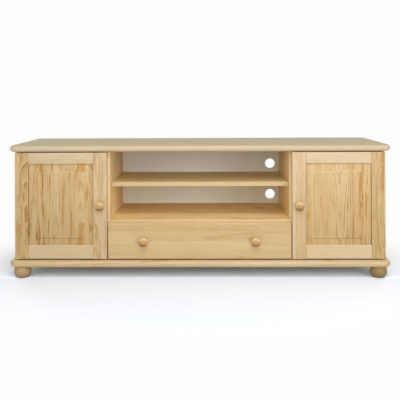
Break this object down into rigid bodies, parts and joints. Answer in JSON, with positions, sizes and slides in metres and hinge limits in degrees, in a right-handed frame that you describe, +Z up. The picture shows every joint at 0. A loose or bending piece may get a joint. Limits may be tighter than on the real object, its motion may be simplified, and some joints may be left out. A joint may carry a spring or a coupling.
{
  "type": "tv cabinet",
  "caption": "Low pine television cabinet with framed doors on pivot hinges, open bays with cable holes and a wide drawer on roller runners, on turned feet.",
  "frame": {"origin": "on the floor, below the middle of the whole object's box", "axes": "+X to the right along the length, -Y out of the front with the doors, +Z up"},
  "size_m": [1.61, 0.4556, 0.565],
  "materials": {
    "pine_boards": "clear satin lacquer on natural pine",
    "pine_carcass": "clear satin lacquer on natural pine",
    "pine_frame": "clear satin lacquer on natural pine",
    "pine_panel": "clear satin lacquer on natural pine",
    "pine_drawer_box": "bare sanded pine",
    "turned_pine": "clear satin lacquer on turned pine",
    "dowel_beech": "bare beech",
    "hardboard": "pale painted face",
    "zinc_steel": "bright zinc plated",
    "runner_enamel": "cream epoxy coat",
    "nylon": "natural nylon",
    "catch_plastic": "beige moulded plastic"
  },
  "bodies": {
    "cabinet": {"top_board": "pine_boards", "base_board": "pine_boards", "side_panel_left": "pine_carcass", "side_panel_right": "pine_carcass", "divider_left": "pine_carcass", "divider_right": "pine_carcass", "drawer_deck": "pine_carcass", "center_shelf": "pine_carcass", "shelf_left": "pine_carcass", "shelf_right": "pine_carcass", "back_panel": "hardboard", "foot_front_left": "turned_pine", "foot_front_right": "turned_pine", "foot_back_left": "turned_pine", "foot_back_right": "turned_pine", "foot_bolts": "zinc_steel", "shelf_pins": "zinc_steel", "carcass_dowels": "dowel_beech", "pivot_plates_left": "zinc_steel", "pivot_plates_right": "zinc_steel", "magnetic_catches": "catch_plastic", "runner_left": "runner_enamel", "runner_right": "runner_enamel"},
    "door_left": {"door_left_outer_stile": "pine_frame", "door_left_inner_stile": "pine_frame", "door_left_top_rail": "pine_frame", "door_left_bottom_rail": "pine_frame", "door_left_panel": "pine_panel", "door_left_knob": "turned_pine", "door_left_knob_screw": "zinc_steel", "door_left_bushes": "nylon", "door_left_strike": "zinc_steel"},
    "door_right": {"door_right_outer_stile": "pine_frame", "door_right_inner_stile": "pine_frame", "door_right_top_rail": "pine_frame", "door_right_bottom_rail": "pine_frame", "door_right_panel": "pine_panel", "door_right_knob": "turned_pine", "door_right_knob_screw": "zinc_steel", "door_right_bushes": "nylon", "door_right_strike": "zinc_steel"},
    "drawer": {"drawer_front": "pine_frame", "drawer_box_front": "pine_drawer_box", "drawer_side_left": "pine_drawer_box", "drawer_side_right": "pine_drawer_box", "drawer_back": "pine_drawer_box", "drawer_bottom": "hardboard", "drawer_rail_left": "runner_enamel", "drawer_rail_right": "runner_enamel", "drawer_knob_left": "turned_pine", "drawer_knob_right": "turned_pine", "drawer_knob_screws": "zinc_steel", "drawer_front_screws": "zinc_steel"},
    "front_rollers": {"front_roller_left": "nylon", "front_roller_right": "nylon"},
    "rear_rollers": {"rear_roller_left": "nylon", "rear_roller_right": "nylon"}
  },
  "joints": [
    {"name": "door_left_swing", "type": "hinge", "parent": "cabinet", "child": "door_left", "pos_m": [-0.772, -0.18475, 0.3], "axis": [0, 0, -1], "range_deg": [0, 110]},
    {"name": "door_right_swing", "type": "hinge", "parent": "cabinet", "child": "door_right", "pos_m": [0.772, -0.18475, 0.3], "axis": [0, 0, 1], "range_deg": [0, 110]},
    {"name": "drawer_slide", "type": "slide", "parent": "cabinet", "child": "drawer", "axis": [0, -1, 0], "range_m": [0, 0.26]},
    {"name": "front_roller_spin", "type": "hinge", "parent": "cabinet", "child": "front_rollers", "pos_m": [0, -0.16025, 0.1043], "axis": [1, 0, 0], "continuous": true},
    {"name": "rear_roller_spin", "type": "hinge", "parent": "drawer", "child": "rear_rollers", "pos_m": [0, 0.15925, 0.1043], "axis": [1, 0, 0], "continuous": true}
  ],
  "couplings": [
    {"joint": "front_roller_spin", "follows": "drawer_slide", "rad_per_m": 100},
    {"joint": "rear_roller_spin", "follows": "drawer_slide", "rad_per_m": 100}
  ]
}
